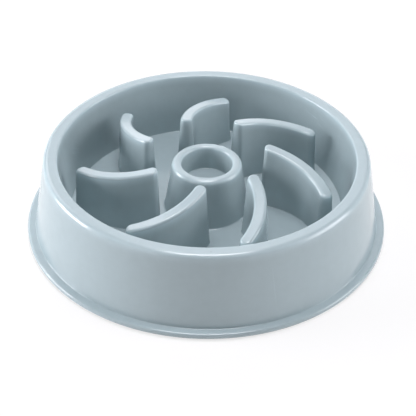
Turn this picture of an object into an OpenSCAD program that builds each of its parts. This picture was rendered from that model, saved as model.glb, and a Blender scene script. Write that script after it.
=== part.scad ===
// Slow feeder bowl for a dog or cat, moulded in one colour.
// A ring-shaped basin with curved vanes round a hollow post, so that the animal has to work its food
// out of the gaps, and a sloping skirt that stands on a flange and four rubber feet.
// The moulding is divided along its own inside corners into solids that meet face to face.
// Everything is in millimetres, with +Z up and the origin on the ground under the bowl's axis.

/* [Outside] */
// Diameter over the base flange
flange_d = 200; // [192:1:220]
// Width of the flange outside the skirt
flange_w = 4.5; // [3.5:0.5:8]
// Thickness of the flange
flange_t = 2.8; // [2.2:0.1:4]
// Height of the rim above the ground
rim_h = 45.1; // [40:0.1:60]
// Diameter at the rim's outer corner, before it is rounded
rim_d = 177; // [174:1:182]
// Rounding of the rim's outer corner
rim_round = 3; // [1:0.5:3.5]
// Thickness of the moulding's walls and floor
wall = 2.2; // [1.6:0.1:2.6]

/* [Basin] */
// Diameter of the basin's mouth, at the rim's inner corner
mouth_d = 162.4; // [158:0.2:165]
// Diameter of the basin at its floor
floor_d = 151.6; // [151:0.2:157]
// Height of the basin's floor above the ground
floor_h = 10.2; // [9.6:0.1:14]
// Rounding between the basin's wall and its floor
floor_round = 0.5; // [0.5:0.5:2]

/* [Post] */
// Diameter of the post where it meets the floor
post_base_d = 47; // [44:0.5:49]
// Diameter of the post at its top
post_top_d = 38; // [37:0.2:42]
// Height of the post's top above the ground
post_h = 39; // [34:0.5:44]
// Diameter of the well's mouth in the post's top
well_d = 28.2; // [24:0.1:30]
// Depth of the well
well_depth = 13.4; // [8:0.2:16]

/* [Vanes] */
// Number of vanes
vane_count = 7; // [5:1:7]
// Radius of the circle that a vane follows, which runs through the bowl's axis
vane_sweep_r = 43.2; // [40:0.2:48]
// Distance of a vane's inner end from the bowl's axis
vane_inner_r = 32; // [31:0.5:40]
// Distance of a vane's outer end from the bowl's axis
vane_outer_r = 69.8; // [60:0.2:70]
// Height of a vane's inner end above the ground
vane_inner_h = 46.8; // [38:0.2:52]
// Height of a vane's outer end above the ground
vane_outer_h = 36.5; // [28:0.5:46]
// Width of a vane across its top, before the edges are rounded
vane_top_w = 6.6; // [6:0.2:8]
// Draft of a vane's sides, in degrees from upright
vane_draft = 3.5; // [2:0.1:4.5]
// Draft of a vane's ends, in degrees from upright
vane_end_draft = 1.8; // [1:0.1:2.5]
// Rounding of a vane's top edges
vane_round = 1.5; // [0.8:0.1:1.8]
// Direction of the first vane, as its inner end leaves the axis
vane_turn = 30.8; // [0:0.1:51]

/* [Feet] */
// Number of rubber feet
foot_count = 4; // [3:1:6]
// Diameter of a foot's pad
foot_d = 12; // [10:0.5:13]
// Distance of the feet from the bowl's axis
foot_ring_r = 86; // [85:0.5:87]
// Height of the flange above the ground, on the feet
foot_lift = 1; // [0.5:0.1:2]

/* [Hidden] */
$fn = 96;
moulded_colour = "#c2cfd8";
rubber_colour = "#5c6266";

// The skirt, from its slope between the rim's outer corner and the flange
skirt_foot_r = flange_d / 2 - flange_w;
flange_top = foot_lift + flange_t;
skirt_slope = (skirt_foot_r - rim_d / 2) / (rim_h - flange_top);
skirt_wall = wall * sqrt(1 + skirt_slope * skirt_slope);
function skirt_r(z) = skirt_foot_r - (z - flange_top) * skirt_slope;
// The flange's ring ends a little above its fillet, where the skirt's plain slope begins
flange_fillet = 0.5;
skirt_seat = flange_top + 1.6;

// The basin's wall, from its slope between the rim's inner corner and the floor
basin_slope = (mouth_d - floor_d) / 2 / (rim_h - floor_h);
basin_wall_t = wall * sqrt(1 + basin_slope * basin_slope);
function basin_r(z) = floor_d / 2 + (z - floor_h) * basin_slope;

// The rim is a solid ring as deep as its outer rounding, and at least as a wall is thick
rim_depth = max(rim_round, wall) + 0.2;
rim_seat = rim_h - rim_depth;
rim_inner_round = 1;

// The floor is a flat ring between the foot of the wall and the foot of the post
floor_under = floor_h - wall;
floor_outer_r = floor_d / 2 - floor_round - 0.3;
post_foot_round = 1;
floor_inner_r = post_base_d / 2 + post_foot_round + 0.4;

// The post is a cone, hollow underneath, and its well hangs from the solid ring at its top
post_slope = (post_base_d - post_top_d) / 2 / (post_h - floor_h);
function post_r(z) = post_base_d / 2 - (z - floor_h) * post_slope;
// Its top ring is almost half round, with the larger rounding outside
post_ring_w = (post_top_d - well_d) / 2;
post_round = 0.53 * post_ring_w;
well_mouth_round = 0.35 * post_ring_w;
well_floor = post_h - well_depth;
well_draft = 0.086;
function well_r(z) = well_d / 2 - (post_h - z) * well_draft;
well_corner = 0.4;
groove_top = well_floor + well_depth * 0.4;

// A vane's circle is measured by its arc angle from the bowl's axis
function sweep_at(r) = 2 * asin(r / 2 / vane_sweep_r);
vane_start = sweep_at(vane_inner_r);
vane_length = (sweep_at(vane_outer_r) - vane_start) * PI / 180 * vane_sweep_r;
vane_corner = 0.45 * vane_top_w;
vane_hollow_corner = 0.8;
vane_wall = 2;
vane_side_steps = 11;
vane_round_steps = 6;
// The top slopes down from the inner end to the outer end
function top_height(along) = vane_inner_h + (vane_outer_h - vane_inner_h) * along / vane_length;

// Each foot is a plug that snaps through a hole in a tab inside the skirt
tab_t = 2.2;
tab_seat = foot_lift + 1;
tab_r = foot_d / 2 + 1;
stem_r = 2.5;
plug_r = 3.6;
plug_h = 2;

corner_steps = 6;

// Profiles are lists of [radius, height, rounding], turned into points that round each corner
function point(p) = [p[0], p[1]];
function toward(a, b) = (b - a) / norm(b - a);
function turned(v, a) = [v[0] * cos(a) - v[1] * sin(a), v[0] * sin(a) + v[1] * cos(a)];
function corner(a, b, c, r) =
    let(u = toward(b, a), v = toward(b, c))
    let(half = acos(u * v) / 2)
    let(centre = b + toward([0, 0], u + v) * r / sin(half))
    let(from = b + u * r / tan(half) - centre)
    let(way = sign(cross(v, u)) * (180 - 2 * half))
    [for (i = [0:corner_steps]) centre + turned(from, way * i / corner_steps)];
function rounded(path) =
    let(n = len(path))
    [for (i = [0:n - 1])
        each path[i][2] == 0
            ? [point(path[i])]
            : corner(point(path[(i + n - 1) % n]), point(path[i]), point(path[(i + 1) % n]), path[i][2])];

// Foot tab with its hole, reaching in from the skirt
module foot_tab(angle) {
    rotate([0, 0, angle])
        difference() {
            union() {
                translate([foot_ring_r, 0, tab_seat])
                    cylinder(r = tab_r, h = tab_t);
                translate([foot_ring_r, -tab_r, tab_seat])
                    cube([skirt_foot_r - wall / 2 - foot_ring_r, 2 * tab_r, tab_t]);
            }
            translate([foot_ring_r, 0, tab_seat - 1])
                cylinder(r = stem_r, h = tab_t + 2);
        }
}

function foot_angle(i) = (i - 0.5) * 360 / foot_count;

module base_flange() {
    color(moulded_colour)
        union() {
            rotate_extrude()
                polygon(rounded([
                    [skirt_r(foot_lift) - skirt_wall, foot_lift, 0.5],
                    [flange_d / 2, foot_lift, 0.6],
                    [flange_d / 2, flange_top, 1.1],
                    [skirt_foot_r, flange_top, flange_fillet],
                    [skirt_r(skirt_seat), skirt_seat, 0],
                    [skirt_r(skirt_seat) - skirt_wall, skirt_seat, 0]]));
            for (i = [1:foot_count])
                foot_tab(foot_angle(i));
        }
}

module outer_skirt() {
    color(moulded_colour)
        rotate_extrude()
            polygon([
                [skirt_r(skirt_seat) - skirt_wall, skirt_seat],
                [skirt_r(skirt_seat), skirt_seat],
                [skirt_r(rim_seat), rim_seat],
                [skirt_r(rim_seat) - skirt_wall, rim_seat]]);
}

module rim() {
    color(moulded_colour)
        rotate_extrude()
            polygon(rounded([
                [basin_r(rim_seat), rim_seat, 0],
                [skirt_r(rim_seat), rim_seat, 0],
                [rim_d / 2, rim_h, rim_round],
                [mouth_d / 2, rim_h, rim_inner_round]]));
}

module basin_wall() {
    color(moulded_colour)
        rotate_extrude()
            polygon(rounded([
                [floor_outer_r, floor_under, 0],
                [basin_r(floor_under) + basin_wall_t, floor_under, 1.5],
                [basin_r(rim_seat) + basin_wall_t, rim_seat, 0],
                [basin_r(rim_seat), rim_seat, 0],
                [basin_r(floor_h), floor_h, floor_round],
                [floor_outer_r, floor_h, 0]]));
}

// Right half of a vane's outline as [along, across], from its inner end to its outer end
function half_outline(inset, r) =
    let(w = vane_top_w / 2 - inset, from = inset, to = vane_length - inset)
    [
        for (i = [0:vane_round_steps])
            let(a = 90 * i / vane_round_steps)
            [from + r - r * cos(a), w - r + r * sin(a)],
        for (i = [1:vane_side_steps - 1])
            [from + r + (to - from - 2 * r) * i / vane_side_steps, w],
        for (i = [0:vane_round_steps])
            let(a = 90 * i / vane_round_steps)
            [to - r + r * sin(a), w - r + r * cos(a)]
    ];
function outline(inset, r) =
    let(half = half_outline(inset, r), n = len(half))
    concat(half, [for (i = [n - 1:-1:0]) [half[i][0], -half[i][1]]]);

// Point of the bowl's plane at a distance along a vane's circle and across it
function on_sweep(p) =
    let(a = vane_start + p[0] / vane_sweep_r * 180 / PI)
    let(r = vane_sweep_r + p[1])
    [r * sin(a), r * cos(a) - vane_sweep_r];

// The outline as it lies a depth under the sloping top, and as its draft spreads it at the floor
function top_ring(inset, r, depth) =
    [for (p = outline(inset, r)) [each on_sweep(p), top_height(p[0]) - depth]];
function foot_plan(inset, r) =
    [for (p = outline(inset, r))
        let(drop = top_height(p[0]) - floor_h)
        let(spread = 1 + drop * tan(vane_draft) / (vane_top_w / 2 - inset))
        let(lean = drop * tan(vane_end_draft) * (2 * p[0] / vane_length - 1))
        on_sweep([p[0] + lean, p[1] * spread])];
function foot_ring(inset, r) = [for (p = foot_plan(inset, r)) [each p, floor_h]];

// Rings of a vane's skin: up the outside, over the rounded edge, and inside the hollow
vane_rings = concat(
    [foot_ring(0, vane_corner)],
    [for (i = [0:vane_round_steps])
        let(a = 90 * i / vane_round_steps, inset = vane_round * (1 - cos(a)))
        top_ring(inset, vane_corner - inset, vane_round * (1 - sin(a)))]);
vane_hollow_rings = [
    foot_ring(vane_wall, vane_hollow_corner),
    top_ring(vane_wall, vane_hollow_corner, vane_wall)];

// Triangles of the band between ring a and ring b, and of the flat strip that closes one ring
function band(a, b, n) =
    [for (i = [0:n - 1], k = [0, 1])
        let(j = (i + 1) % n)
        k == 0 ? [a * n + i, a * n + j, b * n + j] : [a * n + i, b * n + j, b * n + i]];
function lid(a, n) =
    [for (i = [0:n / 2 - 2], k = [0, 1])
        let(p = a * n + i, q = a * n + n - 1 - i)
        k == 0 ? [p, p + 1, q - 1] : [p, q - 1, q]];
function flipped(faces) = [for (f = faces) [f[2], f[1], f[0]]];

module vane(i) {
    n = len(vane_rings[0]);
    outer = len(vane_rings);
    hollow_top = outer + len(vane_hollow_rings) - 1;
    points = [for (ring = concat(vane_rings, vane_hollow_rings)) each ring];
    skin = [for (k = [0:outer - 2]) each band(k, k + 1, n)];
    faces = concat(
        skin,
        lid(outer - 1, n),
        band(outer, 0, n),
        flipped(band(outer, hollow_top, n)),
        flipped(lid(hollow_top, n)));
    color(moulded_colour)
        rotate([0, 0, vane_turn + (i - 1) * 360 / vane_count])
            polyhedron(points, faces);
}

// The floor is open under each vane's hollow, as the mould's core leaves it
module basin_floor() {
    color(moulded_colour)
        difference() {
            rotate_extrude()
                polygon([
                    [floor_inner_r, floor_under],
                    [floor_outer_r, floor_under],
                    [floor_outer_r, floor_h],
                    [floor_inner_r, floor_h]]);
            for (i = [1:vane_count])
                rotate([0, 0, vane_turn + (i - 1) * 360 / vane_count])
                    translate([0, 0, floor_under - 1])
                        linear_extrude(wall + 2)
                            polygon(foot_plan(vane_wall, vane_hollow_corner));
        }
}

module centre_post() {
    color(moulded_colour)
        rotate_extrude()
            polygon(rounded([
                [post_r(floor_under) - wall, floor_under, 0],
                [floor_inner_r, floor_under, 0],
                [floor_inner_r, floor_h, 0],
                [post_r(floor_h), floor_h, post_foot_round],
                [post_top_d / 2, post_h, post_round],
                [well_d / 2, post_h, well_mouth_round],
                [well_r(groove_top), groove_top, 0],
                [post_r(groove_top) - wall, groove_top, 0.5]]));
}

module well_cup() {
    color(moulded_colour)
        rotate_extrude()
            polygon(rounded([
                [0, well_floor, 0],
                [0, well_floor - wall, 0],
                [well_r(well_floor) + wall, well_floor - wall, 1.5],
                [well_r(groove_top) + wall, groove_top, 0],
                [well_r(groove_top), groove_top, 0],
                [well_r(well_floor), well_floor, well_corner]]));
}

module foot(i) {
    color(rubber_colour)
        rotate([0, 0, foot_angle(i)])
            translate([foot_ring_r, 0, 0])
                rotate_extrude()
                    polygon(rounded([
                        [0, 0, 0],
                        [foot_d / 2, 0, 0.5],
                        [foot_d / 2, tab_seat, 0],
                        [stem_r, tab_seat, 0],
                        [stem_r, tab_seat + tab_t, 0],
                        [plug_r, tab_seat + tab_t, 0.4],
                        [stem_r - 0.5, tab_seat + tab_t + plug_h, 0.6],
                        [0, tab_seat + tab_t + plug_h, 0]]));
}

base_flange();
outer_skirt();
rim();
basin_wall();
basin_floor();
centre_post();
well_cup();
for (i = [1:vane_count])
    vane(i);
for (i = [1:foot_count])
    foot(i);
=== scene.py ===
import math

import bpy
from mathutils import Matrix, Vector


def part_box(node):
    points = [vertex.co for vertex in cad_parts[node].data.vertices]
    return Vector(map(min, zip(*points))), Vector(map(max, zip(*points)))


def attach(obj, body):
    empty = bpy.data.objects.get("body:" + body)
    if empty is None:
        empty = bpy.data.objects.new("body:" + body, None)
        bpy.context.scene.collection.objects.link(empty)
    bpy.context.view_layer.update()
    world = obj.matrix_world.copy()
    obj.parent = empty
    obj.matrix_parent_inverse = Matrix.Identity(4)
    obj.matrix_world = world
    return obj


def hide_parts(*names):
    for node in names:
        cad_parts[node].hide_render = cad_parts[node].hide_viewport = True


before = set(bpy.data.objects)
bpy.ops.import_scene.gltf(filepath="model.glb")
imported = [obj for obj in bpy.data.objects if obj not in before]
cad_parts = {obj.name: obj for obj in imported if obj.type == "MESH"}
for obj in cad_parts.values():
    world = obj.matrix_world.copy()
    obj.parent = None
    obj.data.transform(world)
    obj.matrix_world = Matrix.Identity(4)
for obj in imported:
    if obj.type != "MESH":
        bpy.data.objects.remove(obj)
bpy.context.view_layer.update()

# Every size below is in millimetres, and meshes are scaled to metres as they are made
MM = 0.001


def node_box(node):
    """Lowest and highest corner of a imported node, in millimetres."""
    low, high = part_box(node)
    return Vector(low) / MM, Vector(high) / MM


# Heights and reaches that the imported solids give
flange_low, flange_high = node_box("base_flange")
rim_low, rim_high = node_box("rim")
floor_low, floor_high = node_box("basin_floor")
post_high = node_box("centre_post")[1]
cup_high = node_box("well_cup")[1]

FLANGE_R = flange_high.x
FLANGE_UNDER = flange_low.z
SKIRT_SEAT = flange_high.z
RIM_SEAT = rim_low.z
RIM_TOP = rim_high.z
FLOOR_UNDER = floor_low.z
FLOOR_TOP = floor_high.z
FLOOR_OUTER_R = floor_high.x
POST_TOP = post_high.z
POST_FOOT_R = post_high.x
WELL_SEAT = cup_high.z

# Sizes that the solids don't give by their boxes
WALL = 2.2
FLANGE_W = 4.5
FLANGE_T = 2.8
FLANGE_TOP = FLANGE_UNDER + FLANGE_T
FLANGE_FILLET = 0.5
FLANGE_EDGE_ABOVE = 1.1
FLANGE_EDGE_BELOW = 0.6
FLANGE_EDGE_INSIDE = 0.5
RIM_CORNER_R = 88.5
RIM_ROUND = 3.0
RIM_INNER_ROUND = 1.0
MOUTH_R = 81.2
BASIN_FLOOR_R = 75.8
BASIN_ROUND = 0.5
BASIN_UNDER_ROUND = 1.5
POST_BASE_R = 23.5
POST_TOP_R = 19.0
POST_ROUND = 2.6
POST_FOOT_ROUND = 1.0
POST_INSIDE_ROUND = 0.5
WELL_R = 14.1
WELL_DEPTH = 13.4
WELL_DRAFT = 0.086
WELL_MOUTH_ROUND = 1.7
WELL_CORNER = 0.4
WELL_UNDER_ROUND = 1.5

# A vane follows a circle that runs through the bowl's axis
VANES = 7
VANE_TURN = math.radians(30.8)
SWEEP_R = 43.2
VANE_INNER_R = 32.0
VANE_OUTER_R = 69.8
VANE_INNER_H = 46.8
VANE_OUTER_H = 36.5
VANE_TOP_W = 6.6
VANE_DRAFT = math.radians(3.5)
VANE_END_DRAFT = math.radians(1.8)
VANE_ROUND = 1.5
VANE_CORNER = 0.45 * VANE_TOP_W
VANE_WALL = 2.0
VANE_HOLLOW_CORNER = 0.8
VANE_FOOT_ROUND = 0.45

# Marks of the mould underneath: the stub of its gate, and its ejector pins
GATE_R = 1.5
GATE_H = 0.6
GATE_ROUND = 0.2
EJECTOR_R = 3.0
EJECTOR_DEPTH = 0.25

# Rubber feet, and the tabs that hold them
FEET = 4
FOOT_RING_R = 86.0
FOOT_R = 6.0
FOOT_EDGE = 0.5
FOOT_SHOULDER = 0.2
TAB_R = 7.0
TAB_SEAT = 2.0
TAB_T = 2.2
TAB_TOP = TAB_SEAT + TAB_T
TAB_INTO_SKIRT = 1.2
STEM_R = 2.5
PLUG_R = 3.6
PLUG_H = 2.0
PLUG_EDGE = 0.4
PLUG_TIP_R = 2.0
PLUG_TIP_ROUND = 0.6

# How finely the meshes are cut
AROUND = 240
CORNER_STEPS = 8
TAB_STEPS = 24
CIRCLE_STEPS = 48
FOOT_STEPS = 64
VANE_SIDE_STEPS = 36
VANE_CORNER_STEPS = 8
VANE_FOOT_STEPS = 5
VANE_ROUND_STEPS = 8
VANE_SIDE_LEVELS = (0.97, 0.7, 0.4, 0.1)
SHARP_EDGE = math.radians(32)

# How far a holding point stands from the end of a straight, how far a cutter reaches past what
# it cuts, and how near the axis a point counts as on it
HOLD = 0.35
CLEAR = 1.0
ON_AXIS = 1e-6


# Meshes

def mesh_piece(name, points, faces):
    """New object from points in millimetres, smooth except at sharp edges."""
    mesh = bpy.data.meshes.new(name)
    mesh.from_pydata([Vector(p) * MM for p in points], [], faces)
    mesh.validate()
    mesh.shade_smooth()
    mesh.set_sharp_from_angle(angle=SHARP_EDGE)
    piece = bpy.data.objects.new(name, mesh)
    bpy.context.scene.collection.objects.link(piece)
    return piece


def rounded_corner(before, at, after, radius):
    """Points of an arc that rounds the corner at a point of a flat path."""
    to_before = (before - at).normalized()
    to_after = (after - at).normalized()
    half = math.acos(max(-1.0, min(1.0, to_before.dot(to_after)))) / 2
    centre = at + (to_before + to_after).normalized() * radius / math.sin(half)
    start = at + to_before * radius / math.tan(half) - centre
    side = to_after.x * to_before.y - to_after.y * to_before.x
    turn = math.copysign(math.pi - 2 * half, side)
    arc = []
    for i in range(CORNER_STEPS + 1):
        c, s = math.cos(turn * i / CORNER_STEPS), math.sin(turn * i / CORNER_STEPS)
        arc.append(centre + Vector((start.x * c - start.y * s, start.x * s + start.y * c)))
    return arc


def rounded_path(corners):
    """Closed path through (across, up, rounding) corners, with their roundings as arcs."""
    flat = [Vector(c[:2]) for c in corners]
    path = []
    for i, (at, corner) in enumerate(zip(flat, corners)):
        if corner[2]:
            path += rounded_corner(flat[i - 1], at, flat[(i + 1) % len(flat)], corner[2])
        else:
            path.append(at)
    return path


def with_holding_points(path):
    """Adds a point close to each end of every long straight, which keeps its shading flat."""
    held = []
    for i, at in enumerate(path):
        after = path[(i + 1) % len(path)]
        held.append(at)
        span = (after - at).length
        if span > 4 * HOLD:
            held.append(at + (after - at) * HOLD / span)
            held.append(after - (after - at) * HOLD / span)
    return held


def turned_solid(name, corners, steps=AROUND):
    """Closed solid of a rounded profile turned round the Z axis."""
    points, rings = [], []
    for p in with_holding_points(rounded_path(corners)):
        first = len(points)
        if p.x < ON_AXIS:
            points.append((0, 0, p.y))
            rings.append([first] * steps)
            continue
        for k in range(steps):
            a = 2 * math.pi * k / steps
            points.append((p.x * math.cos(a), p.x * math.sin(a), p.y))
        rings.append(list(range(first, first + steps)))
    faces = []
    for i, ring in enumerate(rings):
        after = rings[(i + 1) % len(rings)]
        for k in range(steps):
            n = (k + 1) % steps
            face = list(dict.fromkeys((ring[k], ring[n], after[n], after[k])))
            if len(face) > 2:
                faces.append(face)
    return mesh_piece(name, points, faces)


def upright_prism(name, outline, low, high):
    """Solid between two heights over a closed outline that runs either way round."""
    n = len(outline)
    area = sum(p.x * outline[k - 1].y - outline[k - 1].x * p.y for k, p in enumerate(outline))
    if area > 0:
        outline = outline[::-1]
    points = [(p.x, p.y, low) for p in outline] + [(p.x, p.y, high) for p in outline]
    faces = [list(range(n))[::-1], list(range(n, 2 * n))]
    faces += [[i, (i + 1) % n, n + (i + 1) % n, n + i] for i in range(n)]
    return mesh_piece(name, points, faces)


def join(target, tool, operation):
    """Adds a tool to a target, or cuts it out, and deletes the tool."""
    boolean = target.modifiers.new("join", "BOOLEAN")
    boolean.operation = operation
    boolean.solver = "EXACT"
    boolean.object = tool
    bpy.context.view_layer.update()
    result = bpy.data.meshes.new_from_object(
        target.evaluated_get(bpy.context.evaluated_depsgraph_get()))
    target.modifiers.clear()
    old = target.data
    target.data = result
    result.name = target.name
    bpy.data.meshes.remove(old)
    bpy.data.objects.remove(tool)
    result.shade_smooth()
    result.set_sharp_from_angle(angle=SHARP_EDGE)


def spin(outline, angle):
    turn = Matrix.Rotation(angle, 2)
    return [turn @ p for p in outline]


def circle_round(centre, radius):
    return [centre + Vector((math.cos(a), math.sin(a))) * radius
            for a in (2 * math.pi * k / CIRCLE_STEPS for k in range(CIRCLE_STEPS))]


# Radii of the leaning walls at a height

def skirt_r(z):
    foot = FLANGE_R - FLANGE_W
    return foot - (z - FLANGE_TOP) * (foot - RIM_CORNER_R) / (RIM_TOP - FLANGE_TOP)


def basin_r(z):
    return BASIN_FLOOR_R + (z - FLOOR_TOP) * (MOUTH_R - BASIN_FLOOR_R) / (RIM_TOP - FLOOR_TOP)


def post_r(z):
    return POST_BASE_R - (z - FLOOR_TOP) * (POST_BASE_R - POST_TOP_R) / (POST_TOP - FLOOR_TOP)


def well_r(z):
    return WELL_R - (POST_TOP - z) * WELL_DRAFT


def level_thickness(radius_at):
    """Thickness across a leaning wall, measured level."""
    lean = radius_at(1.0) - radius_at(0.0)
    return WALL * math.hypot(1, lean)


# Rings of a vane

def sweep_at(r):
    """Angle along a vane's circle, from the bowl's axis to a distance from it."""
    return 2 * math.asin(r / 2 / SWEEP_R)


VANE_START = sweep_at(VANE_INNER_R)
VANE_LENGTH = (sweep_at(VANE_OUTER_R) - VANE_START) * SWEEP_R


def on_sweep(along, across):
    a = VANE_START + along / SWEEP_R
    r = SWEEP_R + across
    return Vector((r * math.sin(a), r * math.cos(a) - SWEEP_R))


def vane_top(along):
    return VANE_INNER_H + (VANE_OUTER_H - VANE_INNER_H) * along / VANE_LENGTH


def vane_outline(inset, corner):
    """Outline of a vane's top as (along, across), drawn in by an inset."""
    w = VANE_TOP_W / 2 - inset
    start, end = inset, VANE_LENGTH - inset
    quarter = [math.pi / 2 * i / VANE_CORNER_STEPS for i in range(VANE_CORNER_STEPS + 1)]
    half = [(start + corner - corner * math.cos(a), w - corner + corner * math.sin(a))
            for a in quarter]
    half += [(start + corner + (end - start - 2 * corner) * i / VANE_SIDE_STEPS, w)
             for i in range(1, VANE_SIDE_STEPS)]
    half += [(end - corner + corner * math.sin(a), w - corner + corner * math.cos(a))
             for a in quarter]
    return half + [(along, -across) for along, across in reversed(half)]


def vane_ring(inset, corner, depth):
    """Ring of a vane at a depth under its sloping top."""
    return [(*on_sweep(along, across), vane_top(along) - depth)
            for along, across in vane_outline(inset, corner)]


def vane_level(inset, corner, share, spread=0.0, rise=0.0):
    """Ring between a vane's top (share 0) and the floor (share 1), spread and raised there."""
    ring = []
    for along, across in vane_outline(inset, corner):
        drop = vane_top(along) - FLOOR_TOP
        wide = 1 + (share * drop * math.tan(VANE_DRAFT) + spread) / (VANE_TOP_W / 2 - inset)
        lean = (share * drop * math.tan(VANE_END_DRAFT) + spread) * (2 * along / VANE_LENGTH - 1)
        ring.append((*on_sweep(along + lean, across * wide), vane_top(along) - share * drop + rise))
    return ring


# Pieces

def foot_angle(i):
    return 2 * math.pi * (i - 0.5) / FEET


def foot_tab(i):
    """D-shaped tab inside the skirt that holds foot i, without its hole."""
    skirt_side = skirt_r(TAB_SEAT) - TAB_INTO_SKIRT
    outline = [Vector((FOOT_RING_R + TAB_R * math.cos(a), TAB_R * math.sin(a)))
               for a in (math.radians(90 + 180 * k / TAB_STEPS) for k in range(TAB_STEPS + 1))]
    outline += [Vector((skirt_side, -TAB_R)), Vector((skirt_side, TAB_R))]
    return upright_prism("tab", spin(outline, foot_angle(i)), TAB_SEAT, TAB_TOP)


def foot_hole(i):
    circle = circle_round(Vector((FOOT_RING_R, 0)), STEM_R)
    return upright_prism("hole", spin(circle, foot_angle(i)), TAB_SEAT - CLEAR, TAB_TOP + CLEAR)


def make_base_flange():
    wall = level_thickness(skirt_r)
    flange = turned_solid("base_flange_moulded", [
        (skirt_r(FLANGE_UNDER) - wall, FLANGE_UNDER, FLANGE_EDGE_INSIDE),
        (FLANGE_R, FLANGE_UNDER, FLANGE_EDGE_BELOW),
        (FLANGE_R, FLANGE_TOP, FLANGE_EDGE_ABOVE),
        (FLANGE_R - FLANGE_W, FLANGE_TOP, FLANGE_FILLET),
        (skirt_r(SKIRT_SEAT), SKIRT_SEAT, 0),
        (skirt_r(SKIRT_SEAT) - wall, SKIRT_SEAT, 0)])
    for i in range(1, FEET + 1):
        join(flange, foot_tab(i), "UNION")
        join(flange, foot_hole(i), "DIFFERENCE")
    return flange


def make_outer_skirt():
    wall = level_thickness(skirt_r)
    return turned_solid("outer_skirt_moulded", [
        (skirt_r(SKIRT_SEAT) - wall, SKIRT_SEAT, 0),
        (skirt_r(SKIRT_SEAT), SKIRT_SEAT, 0),
        (skirt_r(RIM_SEAT), RIM_SEAT, 0),
        (skirt_r(RIM_SEAT) - wall, RIM_SEAT, 0)])


def make_rim():
    return turned_solid("rim_moulded", [
        (basin_r(RIM_SEAT), RIM_SEAT, 0),
        (skirt_r(RIM_SEAT), RIM_SEAT, 0),
        (RIM_CORNER_R, RIM_TOP, RIM_ROUND),
        (MOUTH_R, RIM_TOP, RIM_INNER_ROUND)])


def make_basin_wall():
    wall = level_thickness(basin_r)
    return turned_solid("basin_wall_moulded", [
        (FLOOR_OUTER_R, FLOOR_UNDER, 0),
        (basin_r(FLOOR_UNDER) + wall, FLOOR_UNDER, BASIN_UNDER_ROUND),
        (basin_r(RIM_SEAT) + wall, RIM_SEAT, 0),
        (basin_r(RIM_SEAT), RIM_SEAT, 0),
        (BASIN_FLOOR_R, FLOOR_TOP, BASIN_ROUND),
        (FLOOR_OUTER_R, FLOOR_TOP, 0)])


def make_basin_floor():
    """Flat ring, open under each vane's hollow, with the marks of ejector pins between them."""
    ring = turned_solid("basin_floor_moulded", [
        (POST_FOOT_R, FLOOR_UNDER, 0),
        (FLOOR_OUTER_R, FLOOR_UNDER, 0),
        (FLOOR_OUTER_R, FLOOR_TOP, 0),
        (POST_FOOT_R, FLOOR_TOP, 0)])
    hollow = [Vector(p[:2]) for p in vane_level(VANE_WALL, VANE_HOLLOW_CORNER, 1)]
    pin = circle_round(on_sweep(VANE_LENGTH / 2, 0), EJECTOR_R)
    for i in range(VANES):
        slot = spin(hollow, VANE_TURN + 2 * math.pi * i / VANES)
        mark = spin(pin, VANE_TURN + 2 * math.pi * (i + 0.5) / VANES)
        below = FLOOR_UNDER - CLEAR
        join(ring, upright_prism("slot", slot, below, FLOOR_TOP + CLEAR), "DIFFERENCE")
        join(ring, upright_prism("mark", mark, below, FLOOR_UNDER + EJECTOR_DEPTH), "DIFFERENCE")
    return ring


def make_centre_post():
    return turned_solid("centre_post_moulded", [
        (post_r(FLOOR_UNDER) - WALL, FLOOR_UNDER, 0),
        (POST_FOOT_R, FLOOR_UNDER, 0),
        (POST_FOOT_R, FLOOR_TOP, 0),
        (POST_BASE_R, FLOOR_TOP, POST_FOOT_ROUND),
        (POST_TOP_R, POST_TOP, POST_ROUND),
        (WELL_R, POST_TOP, WELL_MOUTH_ROUND),
        (well_r(WELL_SEAT), WELL_SEAT, 0),
        (post_r(WELL_SEAT) - WALL, WELL_SEAT, POST_INSIDE_ROUND)])


def make_well_cup():
    """Lower part of the well, with the stub of the mould's gate under its middle."""
    well_floor = POST_TOP - WELL_DEPTH
    under = well_floor - WALL
    return turned_solid("well_cup_moulded", [
        (0, well_floor, 0),
        (0, under - GATE_H, 0),
        (GATE_R, under - GATE_H, GATE_ROUND),
        (GATE_R + GATE_ROUND, under, GATE_ROUND),
        (well_r(well_floor) + WALL, under, WELL_UNDER_ROUND),
        (well_r(WELL_SEAT) + WALL, WELL_SEAT, 0),
        (well_r(WELL_SEAT), WELL_SEAT, 0),
        (well_r(well_floor), well_floor, WELL_CORNER)])


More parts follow.
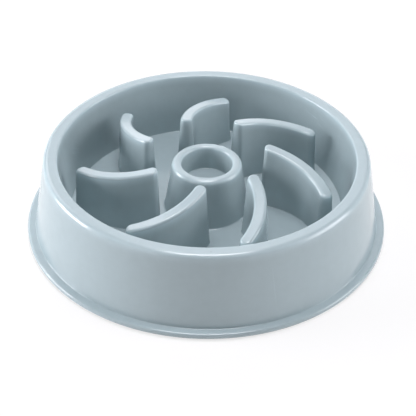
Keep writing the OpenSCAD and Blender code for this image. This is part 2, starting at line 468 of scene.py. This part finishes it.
def make_vane(i):
    """Vane i: a hollow skin with a fillet at the floor and rounded top edges."""
    rings = []
    for k in range(VANE_FOOT_STEPS + 1):
        a = math.pi / 2 * k / VANE_FOOT_STEPS
        rings.append(vane_level(0, VANE_CORNER, 1, spread=VANE_FOOT_ROUND * (1 - math.sin(a)),
                                rise=VANE_FOOT_ROUND * (1 - math.cos(a))))
    rings += [vane_level(0, VANE_CORNER, share) for share in VANE_SIDE_LEVELS]
    for k in range(VANE_ROUND_STEPS + 1):
        a = math.pi / 2 * k / VANE_ROUND_STEPS
        inset = VANE_ROUND * (1 - math.cos(a))
        rings.append(vane_ring(inset, VANE_CORNER - inset, VANE_ROUND * (1 - math.sin(a))))
    rings.append(vane_ring(VANE_ROUND + HOLD, VANE_CORNER - VANE_ROUND - HOLD, 0))
    crown = len(rings) - 1
    rings.append(vane_level(VANE_WALL, VANE_HOLLOW_CORNER, 1))
    rings.append(vane_level(VANE_WALL, VANE_HOLLOW_CORNER, 0.5))
    rings.append(vane_ring(VANE_WALL, VANE_HOLLOW_CORNER, VANE_WALL))
    n = len(rings[0])

    def band(a, b):
        return [[a * n + k, a * n + (k + 1) % n, b * n + (k + 1) % n, b * n + k] for k in range(n)]

    def lid(a):
        return [[a * n + k, a * n + k + 1, a * n + n - 2 - k, a * n + n - 1 - k]
                for k in range(n // 2 - 1)]

    def flipped(faces):
        return [f[::-1] for f in faces]

    faces = [f for a in range(crown) for f in band(a, a + 1)] + lid(crown)
    faces += band(crown + 1, 0)
    faces += flipped(band(crown + 1, crown + 2) + band(crown + 2, crown + 3) + lid(crown + 3))
    turn = Matrix.Rotation(VANE_TURN + 2 * math.pi * (i - 1) / VANES, 3, "Z")
    points = [turn @ Vector(p) for ring in rings for p in ring]
    return mesh_piece(f"vane_{i}_moulded", points, flipped(faces))


def make_foot(i):
    """Rubber foot: pad, stem through the tab and the head that holds it."""
    foot = turned_solid(f"foot_{i}_rubber", [
        (0, 0, 0),
        (FOOT_R, 0, FOOT_EDGE),
        (FOOT_R, TAB_SEAT, FOOT_SHOULDER),
        (STEM_R, TAB_SEAT, 0),
        (STEM_R, TAB_TOP, 0),
        (PLUG_R, TAB_TOP, PLUG_EDGE),
        (PLUG_TIP_R, TAB_TOP + PLUG_H, PLUG_TIP_ROUND),
        (0, TAB_TOP + PLUG_H, 0)], FOOT_STEPS)
    out = Matrix.Translation((FOOT_RING_R * MM, 0, 0))
    foot.data.transform(Matrix.Rotation(foot_angle(i), 4, "Z") @ out)
    return foot


# Surfaces

# Most of a noise texture's values lie between these two
NOISE_LOW = 0.3
NOISE_HIGH = 0.7

# Colour and gloss of the plastic
MOULDING_COLOUR = "#a6b7bb"
MOULDING_IOR = 1.6
GLOSS = (0.14, 0.2)
GLOSS_CLOUD = 9.0
PIGMENT_SPREAD = 0.015
PIGMENT_CLOUD = 5.0
FLOW_SPREAD = 0.007
FLOW_MARK = 5.0
PEEL_SIZE = 1.8
PEEL_HEIGHT = 0.008

# Where the photo shows rub marks on the basin's wall: centre, reach and lean
RUBS = [((63.5, 49.0, 38.5), 14.0, math.radians(-8)),
        ((-74.0, 23.0, 22.0), 13.0, math.radians(-35))]
RUB_LENGTH = 14.0
RUB_GAP = 1.3
RUB_FAINT = 0.58
RUB_FULL = 0.72
RUB_PALER = 0.16
RUB_ROUGHER = 0.12

# The weld line, where two fronts of molten plastic met in the skirt: direction, lean and place
WELD_ANGLE = math.radians(-68.2)
WELD_LEAN = math.radians(-4)
WELD_CENTRE = (34.2, -85.3, 24.0)
WELD_REACH = 19.0
WELD_WIDTH = 0.9
WELD_PALER = 0.07

# Dust and a dark grain in the plastic of the rim and flange: place, size and change of brightness
SPECKS = [((-38.1, -77.4, 45.1), 0.9, 0.1), ((-33.2, -77.3, 45.1), 0.8, 0.08),
          ((2.6, -85.0, 45.1), 0.8, -0.2), ((-72.2, -64.3, 3.8), 0.8, 0.1),
          ((-57.4, -77.2, 3.8), 0.7, 0.08)]

# Painted light: light that enters at a top edge scatters through the plastic and comes out a few
# millimetres lower. Subsurface scattering would show the joints between the solids, so a paler
# colour painted on the tops and below the top edges stands for it.
EDGE_START = 0.8
EDGE_REACH = 6.0
EDGE_MARGIN = 2.0
EDGE_FADE = 2.0
PAINTED_GLOW_INSIDE = 0.36
PAINTED_GLOW_OUTSIDE = 0.22
PAINTED_GLOW_TOP = 0.3

# The rubber of the feet
FOOT_COLOUR = "#5c6266"
FOOT_IOR = 1.52
FOOT_ROUGHNESS = (0.7, 0.82)
FOOT_ROUGH_CLOUD = 3.0
DUST_SHADE = (0.94, 1.08)
DUST_CLOUD = 4.0
GRIT_SIZE = 0.5
GRIT_HEIGHT = 0.03


def linear(hex_colour):
    """sRGB hex colour as linear red, green, blue and alpha."""
    parts = [int(hex_colour[k:k + 2], 16) / 255 for k in (1, 3, 5)]
    return (*[p / 12.92 if p <= 0.04045 else ((p + 0.055) / 1.055) ** 2.4 for p in parts], 1.0)


def add_node(tree, kind, settings=(), links=()):
    """Adds a node, sets its sockets or properties, and links into it from sockets, or from the
    first output of nodes."""
    node = tree.nodes.new(kind)
    for key, value in dict(settings).items():
        if isinstance(key, str) and hasattr(node, key):
            setattr(node, key, value)
        else:
            node.inputs[key].default_value = value
    for key, source in dict(links).items():
        if isinstance(source, bpy.types.Node):
            source = source.outputs[0]
        tree.links.new(source, node.inputs[key])
    return node


def new_material(name):
    material = bpy.data.materials.new(name)
    material.use_nodes = True
    material.node_tree.nodes.clear()
    return material, material.node_tree


def cloud(tree, place, size, low, high, detail=2.0):
    """Soft random patches of a size in millimetres, between two levels."""
    patches = add_node(tree, "ShaderNodeTexNoise", {"Scale": 1 / (size * MM), "Detail": detail},
                       {"Vector": place})
    return add_node(tree, "ShaderNodeMapRange", {
        "From Min": NOISE_LOW, "From Max": NOISE_HIGH, "To Min": low, "To Max": high,
        "clamp": False}, {"Value": patches})


def near(tree, place, centre, reach):
    """1 at a centre in millimetres, falling smoothly to 0 at its reach."""
    gap = add_node(tree, "ShaderNodeVectorMath", {
        "operation": "DISTANCE", 1: [c * MM for c in centre]}, {0: place})
    return add_node(tree, "ShaderNodeMapRange", {
        "interpolation_type": "SMOOTHSTEP", "From Max": reach * MM, "To Min": 1.0, "To Max": 0.0},
        {"Value": gap.outputs["Value"]})


def rub_marks(tree, place, centre, reach, lean):
    """Thin pale streaks on the basin's wall, where bowls rubbed in their stack or a muzzle did."""
    split = add_node(tree, "ShaderNodeSeparateXYZ", links={0: place})
    angle = add_node(tree, "ShaderNodeMath", {"operation": "ARCTAN2"},
                     {0: split.outputs[1], 1: split.outputs[0]})
    around = add_node(tree, "ShaderNodeMath", {"operation": "MULTIPLY", 1: MOUTH_R * MM},
                      {0: angle})
    across = add_node(tree, "ShaderNodeMath", {"operation": "MULTIPLY_ADD", 1: math.tan(lean)},
                      {0: around, 2: split.outputs[2]})
    grain = add_node(tree, "ShaderNodeCombineXYZ", links={0: around, 1: across})
    drawn = add_node(tree, "ShaderNodeVectorMath", {
        "operation": "MULTIPLY", 1: (1 / (RUB_LENGTH * MM), 1 / (RUB_GAP * MM), 0)}, {0: grain})
    streaks = add_node(tree, "ShaderNodeTexNoise", {"Scale": 1.0, "Detail": 1.0}, {"Vector": drawn})
    thin = add_node(tree, "ShaderNodeMapRange", {"From Min": RUB_FAINT, "From Max": RUB_FULL},
                    {"Value": streaks})
    return add_node(tree, "ShaderNodeMath", {"operation": "MULTIPLY"},
                    {0: thin, 1: near(tree, place, centre, reach)})


def weld_line(tree, place):
    """Fine pale line up the skirt."""
    normal = Vector((math.sin(WELD_ANGLE), -math.cos(WELD_ANGLE), math.tan(WELD_LEAN)))
    along = add_node(tree, "ShaderNodeVectorMath", {"operation": "DOT_PRODUCT", 1: normal},
                     {0: place})
    aside = add_node(tree, "ShaderNodeMath", {
        "operation": "SUBTRACT", 1: normal.dot(Vector(WELD_CENTRE)) * MM},
        {0: along.outputs["Value"]})
    gap = add_node(tree, "ShaderNodeMath", {"operation": "ABSOLUTE"}, {0: aside})
    line = add_node(tree, "ShaderNodeMapRange", {
        "interpolation_type": "SMOOTHSTEP", "From Max": WELD_WIDTH / 2 * MM,
        "To Min": 1.0, "To Max": 0.0}, {"Value": gap})
    return add_node(tree, "ShaderNodeMath", {"operation": "MULTIPLY"},
                    {0: line, 1: near(tree, place, WELD_CENTRE, WELD_REACH)})


def painted_glow_below_edges(tree, place, outward):
    """Painted light: extra brightness on and below the top edges of the rim, vanes and post."""
    radius = add_node(tree, "ShaderNodeVectorMath", {"operation": "LENGTH"}, {0: outward})
    radius = radius.outputs["Value"]
    height = add_node(tree, "ShaderNodeSeparateXYZ", links={0: place}).outputs[2]
    vane_edge = add_node(tree, "ShaderNodeMapRange", {
        "From Min": VANE_INNER_R * MM, "From Max": VANE_OUTER_R * MM,
        "To Min": VANE_INNER_H * MM, "To Max": VANE_OUTER_H * MM}, {"Value": radius})
    on_post = add_node(tree, "ShaderNodeMath", {
        "operation": "LESS_THAN", 1: (POST_FOOT_R + EDGE_MARGIN) * MM}, {0: radius})
    on_rim = add_node(tree, "ShaderNodeMath", {
        "operation": "GREATER_THAN", 1: (BASIN_FLOOR_R - EDGE_MARGIN) * MM}, {0: radius})
    inner_edge = add_node(tree, "ShaderNodeMix", {"B": POST_TOP * MM},
                          {"Factor": on_post, "A": vane_edge})
    edge = add_node(tree, "ShaderNodeMix", {"B": RIM_TOP * MM},
                    {"Factor": on_rim, "A": inner_edge})
    depth = add_node(tree, "ShaderNodeMath", {"operation": "SUBTRACT"}, {0: edge, 1: height})
    strength = add_node(tree, "ShaderNodeMapRange", {
        "From Min": MOUTH_R * MM, "From Max": RIM_CORNER_R * MM,
        "To Min": PAINTED_GLOW_INSIDE, "To Max": PAINTED_GLOW_OUTSIDE}, {"Value": radius})
    top = add_node(tree, "ShaderNodeMapRange", {
        "From Max": EDGE_START * MM, "To Min": PAINTED_GLOW_TOP}, {"Value": depth})
    side = add_node(tree, "ShaderNodeMapRange", {
        "From Min": EDGE_START * MM, "From Max": EDGE_REACH * MM, "To Min": 1.0, "To Max": 0.0},
        {"Value": depth})
    fading = add_node(tree, "ShaderNodeMath", {"operation": "POWER", 1: EDGE_FADE}, {0: side})
    lit_top = add_node(tree, "ShaderNodeMath", {"operation": "MULTIPLY"}, {0: strength, 1: top})
    return add_node(tree, "ShaderNodeMath", {"operation": "MULTIPLY"}, {0: lit_top, 1: fading})


# Injection-moulded polypropylene, with its pale grey-blue pigment in the plastic itself. The
# mould's polished steel gives a gloss with a faint orange peel. The pigment lies a little
# unevenly, which gives clouds a few millimetres wide and flow marks that run out from the gate
# under the well. Its IOR is typically 1.49, and is higher here to bring the highlights on the
# edges near the strength that they have in the photo.
def moulded_polypropylene():
    material, tree = new_material("moulded_polypropylene")
    place = add_node(tree, "ShaderNodeTexCoord").outputs["Object"]
    outward = add_node(tree, "ShaderNodeVectorMath", {"operation": "MULTIPLY", 1: (1, 1, 0)},
                       {0: place})
    direction = add_node(tree, "ShaderNodeVectorMath", {"operation": "NORMALIZE"}, {0: outward})
    flow_size = FLOW_MARK / (RIM_CORNER_R * MM)
    flow = cloud(tree, direction, flow_size, 1 - FLOW_SPREAD, 1 + FLOW_SPREAD)
    pigment = cloud(tree, place, PIGMENT_CLOUD, 1 - PIGMENT_SPREAD, 1 + PIGMENT_SPREAD)
    shade = add_node(tree, "ShaderNodeMath", {"operation": "MULTIPLY"}, {0: pigment, 1: flow})
    gloss = cloud(tree, place, GLOSS_CLOUD, *GLOSS)
    # Besides the weld line, specks and rub marks, this list carries the painted glow on and below
    # the top edges.
    marks = [(weld_line(tree, place), WELD_PALER), (painted_glow_below_edges(tree, place, outward), 1.0)]
    marks += [(near(tree, place, centre, size), change) for centre, size, change in SPECKS]
    for centre, reach, lean in RUBS:
        rubbed = rub_marks(tree, place, centre, reach, lean)
        marks.append((rubbed, RUB_PALER))
        gloss = add_node(tree, "ShaderNodeMath", {"operation": "MULTIPLY_ADD", 1: RUB_ROUGHER},
                         {0: rubbed, 2: gloss})
    for mark, change in marks:
        shade = add_node(tree, "ShaderNodeMath", {"operation": "MULTIPLY_ADD", 1: change},
                         {0: mark, 2: shade})
    colour = add_node(tree, "ShaderNodeHueSaturation", {"Color": linear(MOULDING_COLOUR)},
                      {"Value": shade})
    peel = add_node(tree, "ShaderNodeBump", {"Strength": 1.0, "Distance": PEEL_HEIGHT * MM},
                    {"Height": cloud(tree, place, PEEL_SIZE, 0.0, 1.0)})
    shader = add_node(tree, "ShaderNodeBsdfPrincipled", {"IOR": MOULDING_IOR}, {
        "Base Color": colour, "Roughness": gloss, "Normal": peel})
    add_node(tree, "ShaderNodeOutputMaterial", links={"Surface": shader})
    return material


# Moulded rubber of the feet, mid grey. Its mould was blasted with grit, so it is matt and
# finely rough, and paler dust lies in patches on it. The real grain is finer, and is drawn as
# coarse as it needs to show.
def moulded_rubber():
    material, tree = new_material("moulded_rubber")
    place = add_node(tree, "ShaderNodeTexCoord").outputs["Object"]
    colour = add_node(tree, "ShaderNodeHueSaturation", {"Color": linear(FOOT_COLOUR)},
                      {"Value": cloud(tree, place, DUST_CLOUD, *DUST_SHADE)})
    grit = add_node(tree, "ShaderNodeBump", {"Strength": 1.0, "Distance": GRIT_HEIGHT * MM},
                    {"Height": cloud(tree, place, GRIT_SIZE, 0.0, 1.0, detail=3.0)})
    roughness = cloud(tree, place, FOOT_ROUGH_CLOUD, *FOOT_ROUGHNESS)
    shader = add_node(tree, "ShaderNodeBsdfPrincipled", {"IOR": FOOT_IOR}, {
        "Base Color": colour, "Roughness": roughness, "Normal": grit})
    add_node(tree, "ShaderNodeOutputMaterial", links={"Surface": shader})
    return material


def finish_piece(piece, node, material):
    piece.data.materials.clear()
    piece.data.materials.append(material)
    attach(piece, "root")
    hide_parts(node)


polypropylene = moulded_polypropylene()
rubber = moulded_rubber()
finish_piece(make_base_flange(), "base_flange", polypropylene)
finish_piece(make_outer_skirt(), "outer_skirt", polypropylene)
finish_piece(make_rim(), "rim", polypropylene)
finish_piece(make_basin_wall(), "basin_wall", polypropylene)
finish_piece(make_basin_floor(), "basin_floor", polypropylene)
finish_piece(make_centre_post(), "centre_post", polypropylene)
finish_piece(make_well_cup(), "well_cup", polypropylene)
for number in range(1, VANES + 1):
    finish_piece(make_vane(number), f"vane_{number}", polypropylene)
for number in range(1, FEET + 1):
    finish_piece(make_foot(number), f"foot_{number}", rubber)


# Studio

GROUND_HALF = 6000
GROUND_COLOUR = "#f3f3f3"
GROUND_GLOW = 0.7
WHITE = "#ffffff"
FILL_LIGHT = 0.01
LAMP_DISTANCE = 1300
LAMP_COLOUR = (0.98, 0.955, 1.0)
# Each lamp's azimuth from the camera's side (90 is the right) and elevation in degrees, width,
# height, and power in watts
LAMPS = {
    "left": (268, 14, 650, 650, 16.9),
    "right": (82, 16, 800, 700, 8.25),
    "right_high": (90, 32, 500, 500, 2.5),
    "overhead": (0, 89.9, 600, 600, 9.8),
    "overhead_strip": (180, 72, 350, 1300, 2.6),
    "back": (180, 33, 1100, 1000, 3.0),
    "back_left": (215, 35, 500, 500, 1.7),
    "back_low": (180, 14, 800, 500, 1.5),
    "front": (320, 20, 500, 500, 1.4),
}

# The photograph's camera, solved from the bowl's circles and vanes. Its focal length and shifts
# are in the photograph's pixels.
FRAME_PX = 416
FOCAL_PX = 1145.0
SHIFT_RIGHT_PX = 1.82
SHIFT_UP_PX = 8.75
CAMERA_ELEVATION = math.radians(37.66)
CAMERA_DISTANCE = 649.2
CAMERA_ROLL = math.radians(0.76)
CAMERA_NEAR = 50
CAMERA_FAR = 50000
SENSOR_WIDTH = 36


def studio_floor():
    """Plain pale floor that keeps a faint shadow, white to the camera and clear from below."""
    material, tree = new_material("studio_floor")
    pale = add_node(tree, "ShaderNodeBsdfDiffuse", {"Color": linear(GROUND_COLOUR)})
    glow = add_node(tree, "ShaderNodeEmission", {"Color": linear(WHITE), "Strength": 1.0})
    path = add_node(tree, "ShaderNodeLightPath")
    seen = add_node(tree, "ShaderNodeMath", {"operation": "MAXIMUM"},
                    {0: path.outputs["Is Camera Ray"], 1: path.outputs["Is Glossy Ray"]})
    share = add_node(tree, "ShaderNodeMath", {"operation": "MULTIPLY", 1: GROUND_GLOW}, {0: seen})
    white = add_node(tree, "ShaderNodeMixShader", links={0: share, 1: pale, 2: glow})
    clear = add_node(tree, "ShaderNodeBsdfTransparent")
    below = add_node(tree, "ShaderNodeNewGeometry").outputs["Backfacing"]
    mix = add_node(tree, "ShaderNodeMixShader", links={0: below, 1: white, 2: clear})
    add_node(tree, "ShaderNodeOutputMaterial", links={"Surface": mix})
    half = GROUND_HALF
    corners = [(-half, -half, 0), (half, -half, 0), (half, half, 0), (-half, half, 0)]
    floor = mesh_piece("studio_floor", corners, [[0, 1, 2, 3]])
    floor.data.materials.append(material)


def world_light():
    """White to the camera, and a dim even fill for the bowl."""
    world = bpy.data.worlds.new("studio")
    bpy.context.scene.world = world
    world.use_nodes = True
    tree = world.node_tree
    tree.nodes.clear()
    seen = add_node(tree, "ShaderNodeLightPath").outputs["Is Camera Ray"]
    level = add_node(tree, "ShaderNodeMix", {"A": FILL_LIGHT, "B": 1.0}, {"Factor": seen})
    sky = add_node(tree, "ShaderNodeBackground", {"Color": linear(WHITE)}, {"Strength": level})
    add_node(tree, "ShaderNodeOutputWorld", links={"Surface": sky})


def softbox(name, azimuth, elevation, width, height, power):
    """Rectangular lamp aimed at the bowl."""
    lamp = bpy.data.lights.new(name, "AREA")
    lamp.shape = "RECTANGLE"
    lamp.size, lamp.size_y = width * MM, height * MM
    lamp.energy = power
    lamp.color = LAMP_COLOUR
    holder = bpy.data.objects.new(name, lamp)
    a, e = math.radians(azimuth), math.radians(elevation)
    back = Vector((math.sin(a) * math.cos(e), -math.cos(a) * math.cos(e), math.sin(e)))
    holder.location = back * LAMP_DISTANCE * MM
    holder.rotation_mode = "QUATERNION"
    holder.rotation_quaternion = (-back).to_track_quat("-Z", "Y")
    bpy.context.scene.collection.objects.link(holder)


def photo_camera():
    camera = bpy.data.cameras.new("photo_camera")
    camera.sensor_width = SENSOR_WIDTH
    camera.lens = FOCAL_PX / FRAME_PX * SENSOR_WIDTH
    camera.shift_x = SHIFT_RIGHT_PX / FRAME_PX
    camera.shift_y = SHIFT_UP_PX / FRAME_PX
    camera.clip_start, camera.clip_end = CAMERA_NEAR * MM, CAMERA_FAR * MM
    holder = bpy.data.objects.new("photo_camera", camera)
    back = Vector((0, -math.cos(CAMERA_ELEVATION), math.sin(CAMERA_ELEVATION)))
    place = Vector((0, 0, FLANGE_UNDER * MM)) + back * CAMERA_DISTANCE * MM
    aim = (-back).to_track_quat("-Z", "Y").to_matrix().to_4x4()
    holder.matrix_world = Matrix.Translation(place) @ aim @ Matrix.Rotation(CAMERA_ROLL, 4, "Z")
    bpy.context.scene.collection.objects.link(holder)
    bpy.context.scene.camera = holder


studio_floor()
world_light()
for name, settings in LAMPS.items():
    softbox(name, *settings)
photo_camera()
bpy.context.scene.view_settings.view_transform = "Standard"
